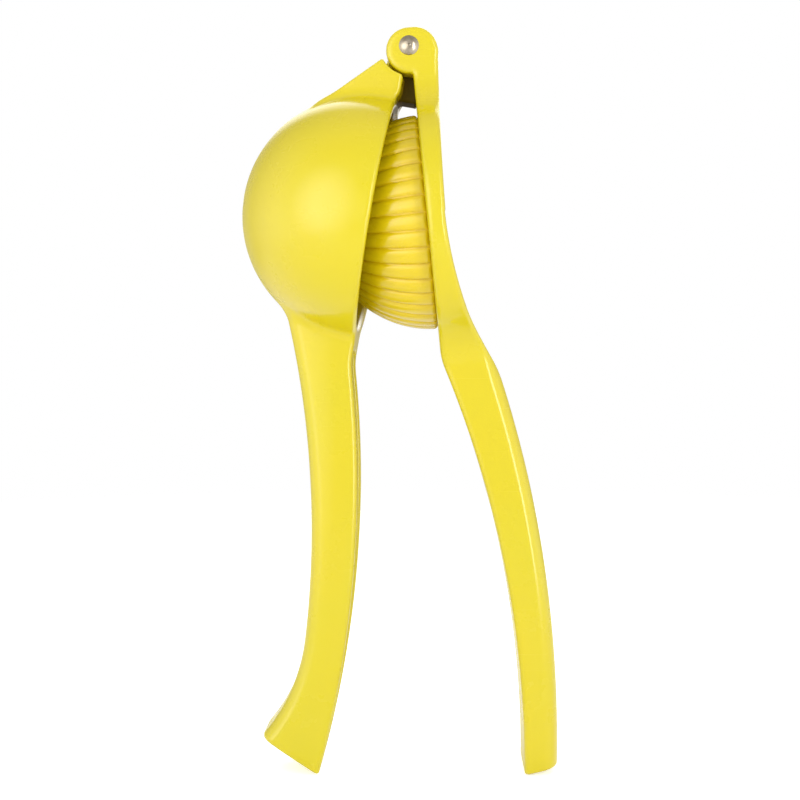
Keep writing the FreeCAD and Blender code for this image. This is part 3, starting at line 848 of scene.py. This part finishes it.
class SQUEEZER_OT_plunger_arm(bpy.types.Operator):
    """Build the arm with the ears, the flange, the hollow dome and the plain handle"""
    bl_idname = "squeezer.plunger_arm"
    bl_label = "Build Plunger Arm"

    def execute(self, context):
        sizes = context.scene.squeezer_plunger
        low = (-8.0, -context.scene.squeezer_dome.radius - 1, -sizes.flange_radius - 2)
        high = (plunger_length() + 3, 28.0, sizes.flange_radius + 2)
        piece = cast_piece("plunger_casting", plunger_field, low, high, sizes.cell, 1, PLUNGER_LEAN)
        finish_piece(piece, bpy.data.materials["Yellow Enamel"], PLUNGER_BODY, "yellow_enamel",
                     "plunger_arm")
        return {"FINISHED"}


SKIN = 1.4


def rib_height(phase, polar, depth):
    """Height over the valleys: a rib's section is a flattened arch, lower towards the pole.

    It also ends in a rounded nose just before the base of the dome.
    """
    arch = np.sqrt(np.maximum(1 - (2 * np.abs(phase)) ** 2.6, 0))
    taper = ease(polar, math.radians(2.0), math.radians(38.0)) ** 0.7
    left = np.clip((math.radians(88.7) - polar) / math.radians(2.4), 0, 1)
    nose = np.sqrt(np.maximum(1 - (1 - left) ** 2, 0))
    return depth * arch * taper * nose


class SQUEEZER_OT_dome(bpy.types.Operator):
    """Build the ribbed skin of the pressing dome"""
    bl_idname = "squeezer.dome"
    bl_label = "Build Ribbed Dome"

    def execute(self, context):
        """Radius is the valley's plus the rib's height, over a grid of polar angle and azimuth."""
        dome = context.scene.squeezer_dome
        per_rib, rows, base_rows = 12, 98, 37
        shoulder, last = math.radians(80), math.radians(91.5)
        columns = dome.ribs * per_rib
        polar = np.concatenate([
            np.linspace(0, shoulder, rows - base_rows + 1, endpoint=False)[1:],
            np.linspace(shoulder, last, base_rows)])
        turn = np.arange(columns) * 2 * math.pi / columns
        polar_grid, turn_grid = np.meshgrid(polar, turn, indexing="ij")
        phase = (turn_grid * dome.ribs / (2 * math.pi)) % 1.0 - 0.5
        valley = dome.radius - dome.depth
        radius = valley + rib_height(phase, polar_grid, dome.depth)
        inner = np.full(polar_grid.shape, valley - SKIN)
        skins = []
        for reach in (radius, inner):
            u = CENTRE_DROP - reach * np.sin(polar_grid) * np.cos(turn_grid)
            y = reach * np.sin(polar_grid) * np.sin(turn_grid)
            v = dome.outset - reach * np.cos(polar_grid)
            skins.append(np.stack([u, v, y], axis=2).reshape(-1, 3))
        poles = np.array([[CENTRE_DROP, dome.outset - reach, 0.0] for reach in (valley, valley - SKIN)])
        points = np.concatenate(skins + [poles])
        faces, fans = dome_faces(len(polar), columns)
        placed = arm_to_row(points, 1, PLUNGER_LEAN)
        if encloses(placed, faces) < 0:
            faces, fans = faces[:, ::-1], fans[:, ::-1]
        lift = (radius - valley) / dome.depth
        # The dome's bend is not its curvature: it is set so the whole dome takes the pooled colour, as
        # painted light that lifts it out of the shade of the cup and the flange, and as warmer painted
        # shade, most in the valleys.
        bend = np.concatenate([(lift * 0.25 - 0.6).ravel(), np.zeros(lift.size + 2)])
        piece = make_mesh("pressing_ribs", placed, faces, {"bend": bend}, fans)
        finish_piece(piece, bpy.data.materials["Yellow Enamel"], PLUNGER_BODY, "yellow_enamel")
        return {"FINISHED"}


def dome_faces(rows, columns):
    """Quads of an outer and an inner grid, joined round the base, with a fan at each pole."""
    row, column = np.meshgrid(np.arange(rows - 1), np.arange(columns), indexing="ij")
    following = (column + 1) % columns
    outer = np.stack([row * columns + column, row * columns + following,
                      (row + 1) * columns + following, (row + 1) * columns + column], axis=2)
    outer = outer.reshape(-1, 4)
    shift = rows * columns
    inner = outer[:, ::-1] + shift
    ring = np.arange(columns)
    after = (ring + 1) % columns
    last = (rows - 1) * columns
    base = np.stack([last + ring, last + after, shift + last + after, shift + last + ring], axis=1)
    top, bottom = 2 * shift, 2 * shift + 1
    cap = np.stack([after, ring, np.full(columns, top)], axis=1)
    low_cap = np.stack([shift + ring, shift + after, np.full(columns, bottom)], axis=1)
    base = base[:, ::-1]
    return np.concatenate([outer, inner, base]), np.concatenate([cap, low_cap])


class SQUEEZER_OT_pin(bpy.types.Operator):
    """Build the polished hinge pin"""
    bl_idname = "squeezer.pin"
    bl_label = "Build Hinge Pin"

    def execute(self, context):
        """A profile of radius against distance along the pin, carried round its axis."""
        sizes = context.scene.squeezer_pin
        head = np.linspace(0, 1, 18)
        ball = (sizes.head_radius ** 2 + sizes.head_height ** 2) / (2 * sizes.head_height)
        radii = sizes.head_radius * np.sin(head * math.pi / 2)
        heights = np.sqrt(np.maximum(ball ** 2 - radii ** 2, 0)) - ball + sizes.head_height
        end = KNUCKLE_HALF + heights
        radius = np.concatenate([radii[1:], [sizes.radius] * 2, radii[:0:-1]])
        place = np.concatenate([-end[1:], [-KNUCKLE_HALF, KNUCKLE_HALF], end[:0:-1]])
        columns = 72
        turn = np.arange(columns) * 2 * math.pi / columns
        r_grid, turn_grid = np.meshgrid(radius, turn, indexing="ij")
        y_grid = np.repeat(place[:, None], columns, axis=1)
        points = np.stack([PIN[0] + r_grid * np.cos(turn_grid), PIN[1] + y_grid,
                           PIN[2] + r_grid * np.sin(turn_grid)], axis=2).reshape(-1, 3)
        tips = np.array([[PIN[0], PIN[1] - end[0], PIN[2]], [PIN[0], PIN[1] + end[0], PIN[2]]])
        points = np.concatenate([points, tips]) * MM
        row, column = np.meshgrid(np.arange(len(radius) - 1), np.arange(columns), indexing="ij")
        following = (column + 1) % columns
        faces = np.stack([row * columns + column, (row + 1) * columns + column,
                          (row + 1) * columns + following, row * columns + following], axis=2)
        ring = np.arange(columns)
        after = (ring + 1) % columns
        last = (len(radius) - 1) * columns
        first_tip, last_tip = len(radius) * columns, len(radius) * columns + 1
        near = np.stack([after, ring, np.full(columns, first_tip)], axis=1)
        far = np.stack([last + ring, last + after, np.full(columns, last_tip)], axis=1)
        faces, fans = faces.reshape(-1, 4), np.concatenate([near, far])
        if encloses(points, faces) < 0:
            faces, fans = faces[:, ::-1], fans[:, ::-1]
        piece = make_mesh("rivet", points, faces, None, fans)
        finish_piece(piece, bpy.data.materials["Polished Steel"], PLUNGER_BODY, "polished_steel",
                     "hinge_pin")
        return {"FINISHED"}


CAMERA_FROM_PIN = np.array((9.04, -380.0, -88.57))
FLOOR_HALF = 3.0


class SQUEEZER_OT_stage(bpy.types.Operator):
    """Make the floor, the soft lights and the camera"""
    bl_idname = "squeezer.stage"
    bl_label = "Make Stage"

    def execute(self, context):
        scene = context.scene
        floor_mesh = bpy.data.meshes.new("floor")
        corners = [(x * FLOOR_HALF, y * FLOOR_HALF, 0) for x, y in ((-1, -1), (1, -1), (1, 1), (-1, 1))]
        floor_mesh.from_pydata(corners, [], [(0, 1, 2, 3)])
        floor = bpy.data.objects.new("floor", floor_mesh)
        floor.data.materials.append(floor_material())
        scene.collection.objects.link(floor)
        scene.world = studio_world()
        scene.view_settings.view_transform = "Standard"
        soft_light("key_light", (-0.52, -0.80, 0.30), (1.3, 1.3), 1.9)
        soft_light("side_light", (0.56, -0.76, 0.25), (0.30, 1.3), 7.0)
        soft_light("back_light", (0.10, 0.80, 0.75), (1.3, 1.3), 4.0)
        camera = bpy.data.cameras.new("camera")
        camera.sensor_width = 36.0
        camera.lens = 57.0
        camera.shift_x = -0.05
        camera.shift_y = -0.0625
        holder = bpy.data.objects.new("camera", camera)
        holder.location = tuple((PIN + CAMERA_FROM_PIN) * MM)
        holder.rotation_euler = (math.pi / 2, 0.0, 0.0)
        scene.collection.objects.link(holder)
        scene.camera = holder
        return {"FINISHED"}


def studio_world():
    """A soft room, dim overhead and lighter towards the horizon, that is seen as plain white."""
    world = bpy.data.worlds.new("Studio")
    world.use_nodes = True
    tree = world.node_tree
    coords = add_node(tree, "ShaderNodeTexCoord", (-900, 0))
    parts = add_node(tree, "ShaderNodeSeparateXYZ", (-700, 0))
    tree.links.new(coords.outputs["Generated"], parts.inputs["Vector"])
    glow = combine(tree, "MULTIPLY",
                   remap(tree, parts.outputs["Z"], 0.0, 0.8, 1.0, 0.45, (-500, 0)),
                   remap(tree, parts.outputs["Y"], -0.1, 0.6, 1.8, 0.55, (-500, 200)), (-400, 0))
    ahead = remap(tree, parts.outputs["Y"], -0.97, -0.75, 0.5, 1.0, (-500, 400))
    glow = combine(tree, "MULTIPLY", glow, ahead, (-300, 200))
    seen = add_node(tree, "ShaderNodeLightPath", (-500, -300)).outputs["Is Camera Ray"]
    level = combine(tree, "MAXIMUM", glow, seen, (-300, 0))
    background = tree.nodes["Background"]
    background.inputs["Color"].default_value = (1.0, 1.0, 1.0, 1.0)
    tree.links.new(level, background.inputs["Strength"])
    return world


AIM_HEIGHT = 0.12


def soft_light(name, place, size, brightness):
    """A soft box that faces the middle of the object and fades out towards its own edges.

    Its power is pi times its brightness and its area.
    """
    light = bpy.data.lights.new(name, "AREA")
    light.use_nodes = True
    tree = light.node_tree
    spot = add_node(tree, "ShaderNodeNewGeometry", (-700, 0)).outputs["Parametric"]
    offset = add_node(tree, "ShaderNodeVectorMath", (-500, 0), operation="DISTANCE")
    tree.links.new(spot, offset.inputs[0])
    offset.inputs[1].default_value = (0.5, 0.5, 0.0)
    fade = remap(tree, offset.outputs["Value"], 0.15, 0.5, 1.0, 0.0, (-300, 0))
    tree.nodes["Emission"].inputs["Color"].default_value = (1.0, 1.0, 1.0, 1.0)
    tree.links.new(fade, tree.nodes["Emission"].inputs["Strength"])
    light.shape = "RECTANGLE"
    light.size, light.size_y = size
    light.energy = math.pi * brightness * size[0] * size[1]
    holder = bpy.data.objects.new(name, light)
    holder.location = place
    holder.visible_camera = False
    away = np.array(place) - np.array((0.0, 0.0, AIM_HEIGHT))
    holder.rotation_euler = (
        math.atan2(math.hypot(away[0], away[1]), away[2]), 0.0,
        math.atan2(away[1], away[0]) + math.pi / 2)
    bpy.context.scene.collection.objects.link(holder)
    return holder


class SQUEEZER_PT_panel(bpy.types.Panel):
    """Lists the steps that build the squeezer"""
    bl_idname = "SQUEEZER_PT_panel"
    bl_label = "Citrus Squeezer"
    bl_space_type = "VIEW_3D"
    bl_region_type = "UI"
    bl_category = "Squeezer"

    def draw(self, context):
        for step in STEPS:
            self.layout.operator(step.bl_idname)
        for name, group in SETTINGS.items():
            box = self.layout.box()
            box.label(text=group.__name__)
            for key in group.__annotations__:
                box.prop(getattr(context.scene, name), key)


SETTINGS = {
    "squeezer_bowl": BowlSettings,
    "squeezer_plunger": PlungerSettings,
    "squeezer_dome": DomeSettings,
    "squeezer_pin": PinSettings,
    "squeezer_finish": FinishSettings,
}
STEPS = (
    SQUEEZER_OT_materials,
    SQUEEZER_OT_bowl_arm,
    SQUEEZER_OT_plunger_arm,
    SQUEEZER_OT_dome,
    SQUEEZER_OT_pin,
    SQUEEZER_OT_stage,
)


def register():
    for cls in (*SETTINGS.values(), *STEPS, SQUEEZER_PT_panel):
        bpy.utils.register_class(cls)
    for name, group in SETTINGS.items():
        setattr(bpy.types.Scene, name, PointerProperty(type=group))


def unregister():
    for name in SETTINGS:
        delattr(bpy.types.Scene, name)
    for cls in reversed((*SETTINGS.values(), *STEPS, SQUEEZER_PT_panel)):
        bpy.utils.unregister_class(cls)


def main():
    register()
    bpy.ops.squeezer.materials()
    bpy.ops.squeezer.bowl_arm()
    bpy.ops.squeezer.plunger_arm()
    bpy.ops.squeezer.dome()
    bpy.ops.squeezer.pin()
    bpy.ops.squeezer.stage()


if __name__ == "__main__":
    main()
